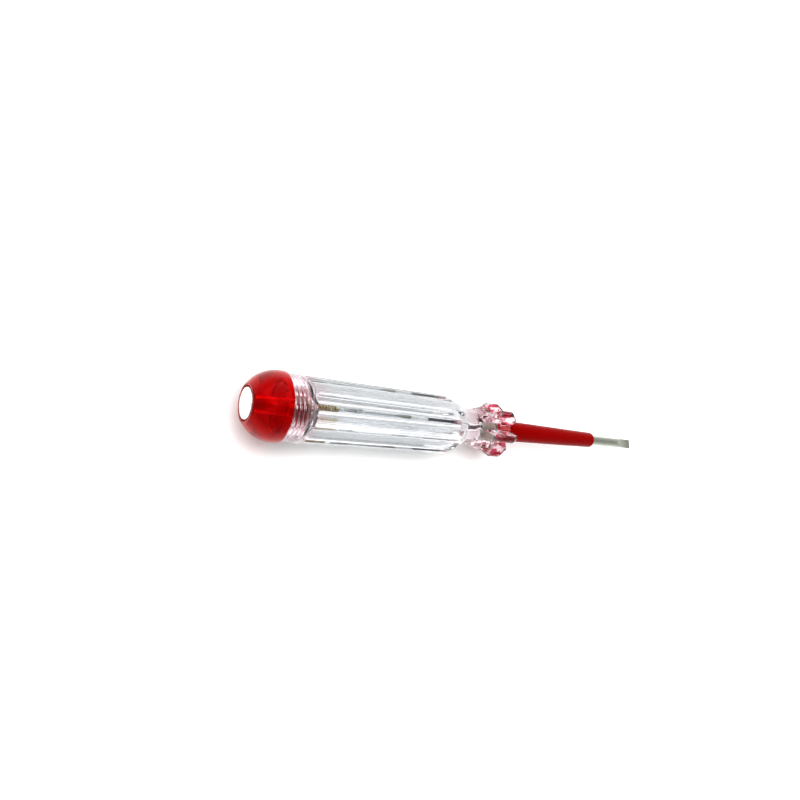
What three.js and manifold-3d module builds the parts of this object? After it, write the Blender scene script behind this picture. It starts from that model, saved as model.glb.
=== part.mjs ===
// A voltage tester screwdriver: a clear ribbed handle with a neon lamp, a resistor and a spring
// inside it, a red screw cap with a metal touch contact, and a steel blade in a red sleeve.
//
// Millimetres. X runs along the tool from the cap to the tip of the blade. The tool lies on its
// side on the plane Z = 0, and its middle is over the origin.
//
// Places along the tool are counted from the outer face of the touch contact.

import * as THREE from 'three';
import { mergeVertices } from 'three/addons/utils/BufferGeometryUtils.js';
import Module from 'manifold-3d';

const wasm = await Module();
wasm.setup();

// Clearances
const seatGap = 0.05; // between flat faces that meet
const nestGap = 0.15; // round a piece that fills a bore
const threadGap = 0.2; // between the crests of the cap's thread and the collar
const overrun = 1; // how far a cut runs past what it cuts

// End cap
const capLength = 7.6;
const capRadius = 8; // of the dome, and of the short straight rim that it ends in
const capFaceRadius = 4.3; // the flat face that the dome is cut off at
const capEdgeBreak = 0.15;
const spigotRadius = 5; // over the crests of the thread
const spigotLength = 4.4;
const spigotLeadIn = 0.5;
const springPocketDepth = 3.4;
const springPocketRadius = 2.6;

// Touch contact, a rivet through the cap
const touchRadius = 3.5;
const touchThickness = 1.1;
const touchEdgeRadius = 0.25;
const touchStandOut = 0.25; // how far the face stands behind the cap
const touchGroove = 0.35; // the ring gap between the face and its recess
const stemRadius = 1.5;
const rivetHeadRadius = 2.4;
const rivetHeadThickness = 0.6;

// Handle
const handleLength = 69.55;
const collarRadius = 7.6;
const collarLength = 4.6;
const collarEdgeBreak = 0.2;
const socketSlack = 0.45; // how much deeper the threaded socket is than the spigot
const boreRadius = 2.65;
const ribCount = 6;
const ribCircleRadius = 7.75; // over the edges of the ribs
const ribFlatRadius = 7.65; // from the axis to the flat top of a rib
const ribRamp = 0.6; // length of the slope at the rear end of a rib's flat
const fluteRadius = 3.1;
const fluteDepth = 1.73;
const fluteEndLength = 2.4; // length of its round rear end
const shoulderLength = 5.7;
const shoulderRound = 0.95; // how far the middle of the shoulder bulges
const neckRadius = 5;
const neckLength = 4;

// Crown, the finger guard at the front of the handle, from the front backwards
const crownRadius = 7.7;
const crownFrontRadius = 6.1;
const crownFrontSlope = 2.4;
const crownTopLength = 3.7;
const crownRearSlope = 2.5;
const crownFootRadius = 6.3;
const crownFootLength = 5;
const crownToothWidth = 3.4;
const notchFloorRadius = 4.95;
const notchFrontRadius = 3; // where a notch runs out at the sleeve
const notchFrontWidth = 1;
const notchRampInset = 5.9; // from the front of the handle to where a notch starts to deepen
const notchRampLength = 2.3;

// Blade shaft and its sleeve
const shaftRadius = 1.5;
const shaftInset = 9.3; // from the front of the handle to the rear end of the shaft
const pinHoleLength = 10.3; // from the end of the bore to the rear end of the shaft
const shaftReach = 63.2; // from the front of the handle to the tip
const bladeLength = 9;
const bladeTipLength = 1.4;
const bladeTipThickness = 0.5;
const sleeveRearRadius = 2.95;
const sleeveFrontRadius = 2.4;
const sleeveNoseRadius = 0.8;
const sleeveInset = 3.8;
const sleeveReach = 40.2;

// Resistor
const contactPinRadius = 0.5;
const contactPinLength = 10.7;
const frontCapRadius = 1.3;
const frontCapLength = 0.65;
const coatingRadius = 1.75;
const coatingLength = 8.9;
const coatingNoseRadius = 0.55;
const coreRadius = 1.5;
const bareCoreLength = 5.7;
const rearCapLength = 3.9;
const rearCapRadius = 1.8;
const rearCapTipRadius = 0.5;
const rearCapRimLength = 0.8;
const rearCapCupDepth = 0.6;
const coreHolderRadius = 1.1; // the thinner ends of the core that sit in the coating and the cup

// Neon lamp
const lampLength = 6.2;
const lampRadius = 1.95;
const lampWall = 0.35;
const lampNippleLength = 0.7;
const lampNippleRadius = 0.45;
const lampPinchLength = 1.3;
const lampPinchThickness = 1.5;
const lampPinchRadius = 1.6;
const electrodeRadius = 0.38;
const electrodeLength = 3.2;
const electrodeSpacing = 1.3;
const leadRadius = 0.25;
const leadShare = 0.47; // of the room beside the lamp, from its front to the resistor
const leadFeed = 0.9; // how far a lead runs inside the pinch
const leadBend = 0.8;

// Spring
const springWireRadius = 0.25;
const springRadius = 2.15; // to the middle of the wire
const springPitch = 0.8;
const springTailBend = 0.35;

// How finely round things are cut
const handleSides = 48;
const capSides = 48;
const shaftSides = 24;
const fluteSides = 30;
const smallSides = 20;
const tinySides = 10;
const springSteps = 8;
const springSides = 5;
const arcSteps = 6;

// Places along the tool
const capRear = touchStandOut;
const capFront = capRear + capLength;
const spigotEnd = capFront + spigotLength;
const pocketFloor = spigotEnd - springPocketDepth;
const handleRear = capFront + seatGap;
const handleFront = handleRear + handleLength;
const socketEnd = handleRear + spigotLength + socketSlack;
const crownFront = handleFront - crownFrontSlope;
const crownRear = crownFront - crownTopLength;
const crownFoot = crownRear - crownRearSlope;
const shoulderEnd = crownFoot - crownFootLength - neckLength;
const shoulderStart = shoulderEnd - shoulderLength;
const tip = handleFront + shaftReach;
const shaftRear = handleFront - shaftInset;
const boreEnd = shaftRear - pinHoleLength;

const contactPinFront = shaftRear - seatGap;
const frontCapFront = contactPinFront - contactPinLength;
const frontCapRear = frontCapFront - frontCapLength;
const coatingFront = frontCapRear - seatGap;
const coatingRear = coatingFront - coatingLength;
const rearCapFront = coatingRear - bareCoreLength;
const rearCapRear = rearCapFront - rearCapLength;

const rivetHeadFront = pocketFloor + seatGap + rivetHeadThickness;
const springRear = rivetHeadFront + seatGap;
const lampRoom = rearCapRear - springRear - seatGap - 2 * leadRadius - nestGap - lampLength;
const lampFront = rearCapRear - leadShare * lampRoom;
const lampRear = lampFront - lampLength;
const hookPlace = lampRear - nestGap - leadRadius;
const springFront = hookPlace - leadRadius - seatGap;

// Materials

const clearPlastic = new THREE.MeshStandardMaterial({
  color: 0xeaf2f4, roughness: 0.08, metalness: 0, transparent: true, opacity: 0.3,
});
const redClearPlastic = new THREE.MeshStandardMaterial({ color: 0xc4060a, roughness: 0.12, metalness: 0 });
const redSleevePlastic = new THREE.MeshStandardMaterial({ color: 0xb50a0c, roughness: 0.35, metalness: 0 });
const brightNickel = new THREE.MeshStandardMaterial({ color: 0xe6e4de, roughness: 0.22, metalness: 1 });
const blankSteel = new THREE.MeshStandardMaterial({ color: 0xbfb9ae, roughness: 0.3, metalness: 1 });
const springBrass = new THREE.MeshStandardMaterial({ color: 0xb08d3e, roughness: 0.3, metalness: 1 });
const lampGlassClear = new THREE.MeshStandardMaterial({
  color: 0xf2f4f2, roughness: 0.05, metalness: 0, transparent: true, opacity: 0.35,
});
const greyNickel = new THREE.MeshStandardMaterial({ color: 0x8d8a80, roughness: 0.45, metalness: 1 });
const tinnedWire = new THREE.MeshStandardMaterial({ color: 0xa39d84, roughness: 0.35, metalness: 1 });
const ceramicWhite = new THREE.MeshStandardMaterial({ color: 0xe9e6dc, roughness: 0.5, metalness: 0 });
const carbonBlack = new THREE.MeshStandardMaterial({ color: 0x14171a, roughness: 0.55, metalness: 0 });

// The tool, with places along it counted from the touch contact and its axis on X.
const tool = new THREE.Group();
tool.position.set(-tip / 2, 0, capRadius);

function add(name, geometry, material) {
  const mesh = new THREE.Mesh(geometry, material);
  mesh.name = name;
  tool.add(mesh);
  return mesh;
}

// Shapes

// A geometry with shared corners and without the empty triangles that a pole leaves.
function closed(geometry) {
  geometry.deleteAttribute('normal');
  geometry.deleteAttribute('uv');
  const merged = mergeVertices(geometry);
  const corners = merged.index.array;
  const kept = [];
  for (let i = 0; i < corners.length; i += 3) {
    const [a, b, c] = [corners[i], corners[i + 1], corners[i + 2]];
    if (a !== b && b !== c && c !== a) kept.push(a, b, c);
  }
  merged.setIndex(kept);
  return merged;
}

// A profile of [place, radius] pairs turned round the X axis.
function revolve(profile, sides) {
  const points = profile.map(([place, radius]) => new THREE.Vector2(radius, place));
  const turned = new THREE.LatheGeometry(points, sides);
  turned.rotateZ(-Math.PI / 2);
  return closed(turned);
}

// Points on a quarter of an ellipse that turns from one place and radius to another. The curve
// leaves the first point along X where axialFirst is true, and square to X where it is false.
function quarter([fromPlace, fromRadius], [toPlace, toRadius], axialFirst) {
  const points = [];
  for (let step = 0; step <= arcSteps; step += 1) {
    const turn = (step / arcSteps) * (Math.PI / 2);
    const along = axialFirst ? Math.sin(turn) : 1 - Math.cos(turn);
    const across = axialFirst ? 1 - Math.cos(turn) : Math.sin(turn);
    points.push([fromPlace + (toPlace - fromPlace) * along, fromRadius + (toRadius - fromRadius) * across]);
  }
  return points;
}

function toSolid(geometry) {
  return new wasm.Manifold(new wasm.Mesh({
    numProp: 3,
    vertProperties: new Float32Array(geometry.attributes.position.array),
    triVerts: new Uint32Array(geometry.index.array),
  }));
}

function toGeometry(solid) {
  const { vertProperties, triVerts } = solid.getMesh();
  const geometry = new THREE.BufferGeometry();
  geometry.setAttribute('position', new THREE.BufferAttribute(new Float32Array(vertProperties), 3));
  geometry.setIndex(new THREE.BufferAttribute(new Uint32Array(triVerts), 1));
  return geometry;
}

// A body less a list of cutters.
function cut(body, cutters) {
  return toGeometry(cutters.reduce((left, cutter) => left.subtract(toSolid(cutter)), toSolid(body)));
}

// Copies of a cutter that stands over the +Z side, at each of the ribs or at each of the flutes.
function round(cutter, startTurn) {
  return Array.from({ length: ribCount }, (_, index) => {
    const copy = cutter.clone();
    copy.rotateX(startTurn + (index * 2 * Math.PI) / ribCount);
    return copy;
  });
}

// A flat outline of [place, height] pairs in the XZ plane, made thick across Y.
function slab(outline, width) {
  const shape = new THREE.Shape(outline.map(([place, height]) => new THREE.Vector2(place, height)));
  const block = new THREE.ExtrudeGeometry(shape, { depth: width, bevelEnabled: false });
  block.translate(0, 0, -width / 2);
  block.rotateX(Math.PI / 2);
  return closed(block);
}

// A flat outline of [across, height] pairs in the YZ plane, run along X.
function prism(outline, from, to) {
  const shape = new THREE.Shape(outline.map(([across, height]) => new THREE.Vector2(across, height)));
  const block = new THREE.ExtrudeGeometry(shape, { depth: to - from, bevelEnabled: false });
  block.rotateX(Math.PI / 2);
  block.rotateZ(Math.PI / 2);
  block.translate(from, 0, 0);
  return closed(block);
}

// Round wire along a curve.
function wire(path, radius, sides, steps) {
  const section = new THREE.Shape(Array.from({ length: sides }, (_, index) => {
    const turn = (index * 2 * Math.PI) / sides;
    return new THREE.Vector2(radius * Math.cos(turn), radius * Math.sin(turn));
  }));
  return closed(new THREE.ExtrudeGeometry(section, { steps, extrudePath: path, bevelEnabled: false }));
}

// A path of straight runs through the given points, with each corner rounded by a curve that
// starts and ends one bend away from it.
function bentPath(points, bend) {
  const path = new THREE.CurvePath();
  let start = points[0];
  for (let index = 1; index < points.length - 1; index += 1) {
    const corner = points[index];
    const before = corner.clone().sub(points[index - 1]).normalize();
    const after = points[index + 1].clone().sub(corner).normalize();
    const enter = corner.clone().addScaledVector(before, -bend);
    const leave = corner.clone().addScaledVector(after, bend);
    path.add(new THREE.LineCurve3(start, enter));
    path.add(new THREE.QuadraticBezierCurve3(enter, corner, leave));
    start = leave;
  }
  path.add(new THREE.LineCurve3(start, points[points.length - 1]));
  return path;
}

// End cap: a dome cut off at the rear, and the spigot that screws into the handle.

function endCap() {
  const domeCentre = capRear + Math.sqrt(capRadius ** 2 - capFaceRadius ** 2);
  const startTurn = Math.asin(capFaceRadius / capRadius);
  const domeSteps = 2 * arcSteps;
  const dome = Array.from({ length: domeSteps + 1 }, (_, step) => {
    const turn = startTurn + ((Math.PI / 2 - startTurn) * step) / domeSteps;
    return [domeCentre - capRadius * Math.cos(turn), capRadius * Math.sin(turn)];
  });
  const recessRadius = touchRadius + touchGroove;
  const recessFloor = touchThickness + seatGap;
  const stemHole = stemRadius + nestGap;
  return revolve([
    [capRear, recessRadius],
    ...dome,
    [capFront - capEdgeBreak, capRadius],
    [capFront, capRadius - capEdgeBreak],
    [capFront, spigotRadius],
    [spigotEnd - spigotLeadIn, spigotRadius],
    [spigotEnd, spigotRadius - spigotLeadIn],
    [spigotEnd, springPocketRadius],
    [pocketFloor, springPocketRadius],
    [pocketFloor, stemHole],
    [recessFloor, stemHole],
    [recessFloor, recessRadius],
    [capRear, recessRadius],
  ], capSides);
}

// Touch contact: a round face, a stem through the cap, and a head that the spring presses on.

function touchContact() {
  const headRear = rivetHeadFront - rivetHeadThickness;
  return revolve([
    [0, 0],
    [0, touchRadius - touchEdgeRadius],
    ...quarter([0, touchRadius - touchEdgeRadius], [touchEdgeRadius, touchRadius], false).slice(1),
    [touchThickness, touchRadius],
    [touchThickness, stemRadius],
    [headRear, stemRadius],
    [headRear, rivetHeadRadius],
    [rivetHeadFront, rivetHeadRadius],
    [rivetHeadFront, 0],
  ], capSides);
}

// Handle: a round collar over the thread, six ribs with hollow flutes between them, a rounded
// shoulder, a neck and a crown of six teeth that line up with the ribs. A long bore holds the
// lamp and the resistor, a thin hole leads on from it to the shaft of the blade, and the shaft
// and the sleeve are fixed in the front end.

function handle() {
  const socketRadius = spigotRadius + threadGap;
  const socketCone = socketRadius - boreRadius;
  const shaftHole = shaftRadius + nestGap;
  const pinHole = contactPinRadius + nestGap;
  const shaftSeat = shaftRear - seatGap;
  const sleeveHole = sleeveRearRadius + nestGap;
  const sleeveSeat = handleFront - sleeveInset - seatGap;
  const collarEnd = handleRear + collarLength;
  const shoulderMiddle = [
    shoulderStart + shoulderLength / 2,
    (ribCircleRadius + neckRadius) / 2 + shoulderRound / 2,
  ];

  const body = revolve([
    [handleRear, socketRadius],
    [handleRear, collarRadius - collarEdgeBreak],
    [handleRear + collarEdgeBreak, collarRadius],
    [collarEnd, collarRadius],
    [collarEnd + ribCircleRadius - collarRadius, ribCircleRadius],
    [shoulderStart, ribCircleRadius],
    shoulderMiddle,
    [shoulderEnd, neckRadius],
    [crownFoot - crownFootLength, neckRadius],
    [crownFoot, crownFootRadius],
    [crownRear, crownRadius],
    [crownFront, crownRadius],
    [handleFront, crownFrontRadius],
    [handleFront, sleeveHole],
    [sleeveSeat, sleeveHole],
    [sleeveSeat, shaftHole],
    [shaftSeat, shaftHole],
    [shaftSeat, pinHole],
    [boreEnd, pinHole],
    [boreEnd, boreRadius],
    [socketEnd + socketCone, boreRadius],
    [socketEnd, socketRadius],
    [handleRear, socketRadius],
  ], handleSides);

  // A flute is a round-bottomed groove with a round rear end.
  const fluteEnd = collarEnd + fluteEndLength;
  const flute = revolve([
    ...quarter([collarEnd, 0], [fluteEnd, fluteRadius], false),
    [shoulderEnd, fluteRadius],
    [shoulderEnd, 0],
  ], fluteSides);
  flute.translate(0, 0, ribCircleRadius - fluteDepth + fluteRadius);

  // The flat of a rib takes a shallow slice off the round.
  const flatTop = ribCircleRadius + overrun;
  const flat = slab([
    [collarEnd, flatTop],
    [collarEnd + ribRamp, ribFlatRadius],
    [shoulderEnd, ribFlatRadius],
    [shoulderEnd, flatTop],
  ], 2 * ribCircleRadius);

  // A notch leaves each tooth its width at the top. Its floor dips towards the front until the
  // sleeve shows between the teeth.
  const toothTurn = Math.asin(crownToothWidth / 2 / crownRadius);
  const notchTurn = Math.PI / ribCount - toothTurn;
  const notchSide = crownRadius * Math.sin(notchTurn);
  const notchTop = crownRadius * Math.cos(notchTurn);
  const sideSlope = (notchSide - notchFrontWidth / 2) / (notchTop - notchFrontRadius);
  const notchRear = crownFoot - crownFootLength;
  const rampRear = handleFront - notchRampInset;
  const opening = prism([
    [-notchFrontWidth / 2, notchFrontRadius],
    [notchFrontWidth / 2, notchFrontRadius],
    [notchSide + sideSlope * overrun, notchTop + overrun],
    [-notchSide - sideSlope * overrun, notchTop + overrun],
  ], notchRear, handleFront + overrun);
  const underFloor = slab([
    [notchRear - overrun, notchFrontRadius - overrun],
    [rampRear + notchRampLength, notchFrontRadius - overrun],
    [rampRear + notchRampLength, notchFrontRadius],
    [rampRear, notchFloorRadius],
    [notchRear - overrun, notchFloorRadius],
  ], 2 * crownRadius);
  const notch = cut(opening, [underFloor]);

  const ribTurn = Math.PI / ribCount;
  return cut(body, [...round(flute, 0), ...round(flat, ribTurn), ...round(notch, 0)]);
}

// Blade shaft: a round rod whose front end is ground slightly hollow on two sides to a flat tip.

function bladeShaft() {
  const bladeRear = tip - bladeLength;
  const tipRear = tip - bladeTipLength;
  const rod = revolve([[shaftRear, 0], [shaftRear, shaftRadius], [tip, shaftRadius], [tip, 0]], shaftSides);
  const grindSteps = 2 * arcSteps;
  const grind = Array.from({ length: grindSteps + 1 }, (_, step) => {
    const share = step / grindSteps;
    const depth = (shaftRadius - bladeTipThickness / 2) * Math.sin(share * Math.PI / 2);
    return [bladeRear + (tipRear - bladeRear) * share, shaftRadius - depth];
  });
  const half = slab([
    ...grind,
    [tip + overrun, bladeTipThickness / 2],
    [tip + overrun, shaftRadius + overrun],
    [bladeRear, shaftRadius + overrun],
  ], 2 * (shaftRadius + overrun));
  const otherHalf = half.clone();
  otherHalf.rotateX(Math.PI);
  return cut(rod, [half, otherHalf]);
}

// Sleeve: a tapered tube over the shaft, rounded at its front end.

function sleeve() {
  const rear = handleFront - sleeveInset;
  const front = handleFront + sleeveReach;
  const hole = shaftRadius + nestGap;
  return revolve([
    [rear, hole],
    [rear, sleeveRearRadius],
    [handleFront, sleeveRearRadius],
    ...quarter([front - sleeveNoseRadius, sleeveFrontRadius],
      [front, sleeveFrontRadius - sleeveNoseRadius + nestGap], true),
    [front, hole],
    [rear, hole],
  ], shaftSides);
}

// Resistor: a ceramic rod with a conical cap at the rear, a black coated front, and a small
// metal cap with a pin that touches the end of the blade's shaft.

function resistorRearCap() {
  const cupFloor = rearCapFront - rearCapCupDepth;
  const cupRadius = coreHolderRadius + nestGap;
  return revolve([
    [rearCapRear, 0],
    [rearCapRear, rearCapTipRadius],
    [rearCapFront - rearCapRimLength, rearCapRadius],
    [rearCapFront, rearCapRadius],
    [rearCapFront, cupRadius],
    [cupFloor, cupRadius],
    [cupFloor, 0],
  ], smallSides);
}

function resistorCore() {
  const coreRear = rearCapFront - rearCapCupDepth + seatGap;
  return revolve([
    [coreRear, 0],
    [coreRear, coreHolderRadius],
    [rearCapFront + seatGap, coreHolderRadius],
    [rearCapFront + seatGap, coreRadius],
    [coatingRear - seatGap, coreRadius],
    [coatingRear - seatGap, coreHolderRadius],
    [coatingFront - coatingNoseRadius, coreHolderRadius],
    [coatingFront - coatingNoseRadius, 0],
  ], smallSides);
}

function resistorCoating() {
  const hole = coreHolderRadius + nestGap;
  const noseBase = coatingFront - coatingNoseRadius;
  return revolve([
    [coatingRear, hole],
    [coatingRear, coatingRadius],
    ...quarter([noseBase, coatingRadius], [coatingFront, coatingRadius - coatingNoseRadius / 2], true),
    [coatingFront, 0],
    [noseBase + seatGap, 0],
    [noseBase + seatGap, hole],
    [coatingRear, hole],
  ], smallSides);
}

function resistorFrontCap() {
  return revolve([
    [frontCapRear, 0],
    [frontCapRear, frontCapRadius],
    [frontCapFront, frontCapRadius],
    [frontCapFront, contactPinRadius],
    [contactPinFront, contactPinRadius],
    [contactPinFront, 0],
  ], smallSides);
}

// Neon lamp: a thin glass bulb with its sealed tip to the rear and a flat pinch at the front,
// where the two leads come out.

const lampShoulder = lampFront - lampPinchLength;
const lampDome = lampRear + lampNippleLength;
const electrodeSide = electrodeSpacing / 2;

function lampGlass() {
  const domeLength = lampRadius / 2;
  const outside = revolve([
    [lampRear, 0],
    ...quarter([lampRear, 0], [lampRear + lampNippleLength / 2, lampNippleRadius], false).slice(1),
    [lampDome, lampNippleRadius],
    ...quarter([lampDome, lampNippleRadius], [lampDome + domeLength, lampRadius], false).slice(1),
    [lampShoulder - domeLength / 2, lampRadius],
    [lampShoulder, lampPinchRadius],
    [lampFront, lampPinchRadius],
    [lampFront, 0],
  ], shaftSides);
  const innerRadius = lampRadius - lampWall;
  const cavity = revolve([
    ...quarter([lampDome + lampWall, 0], [lampDome + domeLength, innerRadius], false),
    [lampShoulder - domeLength / 2, innerRadius],
    [lampShoulder, innerRadius / 2],
    [lampShoulder, 0],
  ], smallSides);
  const leadHole = revolve([
    [lampShoulder - overrun, 0],
    [lampShoulder - overrun, leadRadius + nestGap],
    [lampFront + overrun, leadRadius + nestGap],
    [lampFront + overrun, 0],
  ], tinySides);
  const holes = [-electrodeSide, electrodeSide].map((side) => leadHole.clone().translate(0, side, 0));
  const flat = slab([
    [lampShoulder, lampPinchThickness / 2],
    [lampFront + overrun, lampPinchThickness / 2],
    [lampFront + overrun, lampRadius + overrun],
    [lampShoulder - domeLength / 2, lampRadius + overrun],
  ], 2 * (lampRadius + overrun));
  const otherFlat = flat.clone();
  otherFlat.rotateX(Math.PI);
  return cut(outside, [cavity, ...holes, flat, otherFlat]);
}

const leadStart = lampFront - leadFeed;

function electrode(side) {
  const front = leadStart - seatGap;
  const rear = front - electrodeLength;
  const rod = revolve([
    ...quarter([rear, 0], [rear + electrodeRadius, electrodeRadius], false),
    [lampShoulder - nestGap, electrodeRadius],
    [lampShoulder - nestGap, leadRadius],
    [front, leadRadius],
    [front, 0],
  ], tinySides);
  return rod.translate(0, side, 0);
}

// One lead turns back along the outside of the glass and hooks in under the spring.
function returnLead() {
  const outside = lampRadius + nestGap + leadRadius;
  const loopFront = lampFront + leadBend;
  return wire(bentPath([
    new THREE.Vector3(leadStart, electrodeSide, 0),
    new THREE.Vector3(loopFront, electrodeSide, 0),
    new THREE.Vector3(loopFront, outside, 0),
    new THREE.Vector3(hookPlace, outside, 0),
    new THREE.Vector3(hookPlace, -springRadius, 0),
  ], leadBend / 2), leadRadius, tinySides, 48);
}

// The other lead runs forward to the resistor's rear cap.
function frontLead() {
  const wireEnd = rearCapRear - seatGap;
  return wire(bentPath([
    new THREE.Vector3(leadStart, -electrodeSide, 0),
    new THREE.Vector3(lampFront + leadBend, -electrodeSide, 0),
    new THREE.Vector3(lampFront + 3 * leadBend, 0, 0),
    new THREE.Vector3(wireEnd, 0, 0),
  ], leadBend / 2), leadRadius, tinySides, 24);
}

// Spring: one wire, wound in a helix, whose two ends turn to lie along the axis.

function springPath() {
  const tail = 2 * springWireRadius;
  const windStart = springRear + tail + springTailBend;
  const windEnd = springFront - tail - springTailBend;
  const curls = Math.floor((windEnd - windStart) / springPitch);
  const pitch = (windEnd - windStart) / curls;
  const bendTurn = springTailBend / springRadius;
  const point = (place, turn) => new THREE.Vector3(
    place, springRadius * Math.sin(turn), springRadius * Math.cos(turn));
  const points = [point(springRear, -bendTurn), point(springRear + tail, -bendTurn)];
  points.push(point(windStart - springTailBend / 4, -bendTurn / 2));
  for (let step = 0; step <= curls * springSteps; step += 1) {
    const turn = (step * 2 * Math.PI) / springSteps;
    points.push(point(windStart + (pitch * step) / springSteps, turn));
  }
  const lastTurn = curls * 2 * Math.PI;
  points.push(point(windEnd + springTailBend / 4, lastTurn + bendTurn / 2));
  points.push(point(springFront - tail, lastTurn + bendTurn), point(springFront, lastTurn + bendTurn));
  return points;
}

// The least distance between two stretches of the wire that are not next to each other.
function leastGap(points) {
  let least = Infinity;
  for (let a = 0; a < points.length; a += 1) {
    for (let b = a + springSteps / 2; b < points.length; b += 1) {
      least = Math.min(least, points[a].distanceTo(points[b]));
    }
  }
  return least - 2 * springWireRadius;
}

// A tube of one ring of corners at each point, with a lid at both ends. Each ring is square to
// the wire and is turned so that its first corner points away from the spring's axis.
function spring() {
  const points = springPath();
  console.log(`least gap of the spring to itself: ${leastGap(points).toFixed(3)} mm`);
  const corners = [];
  points.forEach((point, index) => {
    const before = points[Math.max(index - 1, 0)];
    const after = points[Math.min(index + 1, points.length - 1)];
    const along = after.clone().sub(before).normalize();
    const outward = new THREE.Vector3(0, point.y, point.z).normalize();
    outward.addScaledVector(along, -outward.dot(along)).normalize();
    const across = new THREE.Vector3().crossVectors(along, outward);
    for (let side = 0; side < springSides; side += 1) {
      const turn = (side * 2 * Math.PI) / springSides;
      const corner = point.clone()
        .addScaledVector(outward, springWireRadius * Math.cos(turn))
        .addScaledVector(across, springWireRadius * Math.sin(turn));
      corners.push(corner.x, corner.y, corner.z);
    }
  });
  const faces = [];
  for (let ring = 0; ring < points.length - 1; ring += 1) {
    for (let side = 0; side < springSides; side += 1) {
      const here = ring * springSides + side;
      const next = ring * springSides + ((side + 1) % springSides);
      faces.push(here, next, here + springSides, next, next + springSides, here + springSides);
    }
  }
  const lastRing = (points.length - 1) * springSides;
  for (let side = 1; side < springSides - 1; side += 1) {
    faces.push(0, side + 1, side, lastRing, lastRing + side, lastRing + side + 1);
  }
  const geometry = new THREE.BufferGeometry();
  geometry.setAttribute('position', new THREE.Float32BufferAttribute(corners, 3));
  geometry.setIndex(faces);
  return geometry;
}

add('handle', handle(), clearPlastic);
add('end_cap', endCap(), redClearPlastic);
add('touch_contact', touchContact(), brightNickel);
add('contact_spring', spring(), springBrass);
add('lamp_glass', lampGlass(), lampGlassClear);
add('lamp_electrode_return', electrode(electrodeSide), greyNickel);
add('lamp_electrode_front', electrode(-electrodeSide), greyNickel);
add('lamp_return_lead', returnLead(), tinnedWire);
add('lamp_front_lead', frontLead(), tinnedWire);
add('resistor_rear_cap', resistorRearCap(), greyNickel);
add('resistor_core', resistorCore(), ceramicWhite);
add('resistor_coating', resistorCoating(), carbonBlack);
add('resistor_front_cap', resistorFrontCap(), greyNickel);
add('blade_shaft', bladeShaft(), blankSteel);
add('insulating_sleeve', sleeve(), redSleevePlastic);

export default tool;
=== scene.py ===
"""A voltage tester screwdriver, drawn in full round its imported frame.

The clear handle is one moulding with ribs, flutes, a shoulder, a neck and a toothed crown, and
everything inside it shows through it: the spring, the neon lamp, its two leads and the resistor.

Lengths are in metres. A place is a distance along the tool from the face of the touch contact,
a radius is measured from the tool's axis, and a turn is an angle about that axis, which is zero
straight up and grows from there towards -Y.
"""

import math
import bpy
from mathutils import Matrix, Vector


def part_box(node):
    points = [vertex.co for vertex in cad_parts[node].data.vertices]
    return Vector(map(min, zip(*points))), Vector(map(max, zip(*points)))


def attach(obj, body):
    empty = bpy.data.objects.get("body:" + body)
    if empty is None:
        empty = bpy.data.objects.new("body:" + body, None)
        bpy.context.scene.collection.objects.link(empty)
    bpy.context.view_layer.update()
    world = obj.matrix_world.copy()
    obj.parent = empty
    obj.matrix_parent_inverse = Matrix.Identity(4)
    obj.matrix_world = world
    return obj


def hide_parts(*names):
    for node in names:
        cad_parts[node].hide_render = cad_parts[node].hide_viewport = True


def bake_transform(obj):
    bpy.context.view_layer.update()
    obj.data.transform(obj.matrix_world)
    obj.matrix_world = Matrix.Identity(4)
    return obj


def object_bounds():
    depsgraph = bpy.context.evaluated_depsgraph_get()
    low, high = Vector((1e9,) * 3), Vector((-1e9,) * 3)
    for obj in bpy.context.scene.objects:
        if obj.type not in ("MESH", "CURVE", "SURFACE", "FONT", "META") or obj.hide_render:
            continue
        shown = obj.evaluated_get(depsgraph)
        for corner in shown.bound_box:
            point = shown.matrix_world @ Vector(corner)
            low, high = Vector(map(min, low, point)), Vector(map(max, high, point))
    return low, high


bl_info = {
    "name": "Voltage Tester Screwdriver",
    "version": (1, 0, 0),
    "blender": (4, 5, 0),
    "location": "3D View > Sidebar > Tester",
    "description": "Builds a clear voltage tester screwdriver piece by piece round its frame",
    "category": "Object",
}

import bpy
import numpy as np
from bpy.props import FloatProperty, FloatVectorProperty, IntProperty, PointerProperty
from mathutils import Quaternion, Vector

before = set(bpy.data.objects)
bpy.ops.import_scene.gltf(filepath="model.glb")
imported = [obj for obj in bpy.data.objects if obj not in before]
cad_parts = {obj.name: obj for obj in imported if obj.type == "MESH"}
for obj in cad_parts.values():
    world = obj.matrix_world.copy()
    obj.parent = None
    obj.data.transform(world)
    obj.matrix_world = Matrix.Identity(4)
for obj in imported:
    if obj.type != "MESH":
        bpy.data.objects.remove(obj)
cad_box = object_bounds()

REAR = cad_box[0].x
AXIS_HEIGHT = (cad_box[0].z + cad_box[1].z) / 2
FULL_TURN = 2 * math.pi
PLAY = 0.00005  # gap between two pieces that touch
FINE = 0.0001  # smallest rounding of an edge, and the radius where a closed end starts
WHITE = (1, 1, 1, 1)


# Properties that a user can change


def length(name, description, default):
    """A length property."""
    return FloatProperty(
        name=name, description=description, default=default, min=0, precision=5,
        subtype="DISTANCE", unit="LENGTH",
    )


def colour(name, description, default):
    """A colour property, in linear light."""
    return FloatVectorProperty(
        name=name, description=description, default=default, size=3, min=0, max=1,
        subtype="COLOR",
    )


def share(name, description, default):
    """A property from 0 to 1."""
    return FloatProperty(
        name=name, description=description, default=default, min=0, max=1, subtype="FACTOR",
    )


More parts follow.
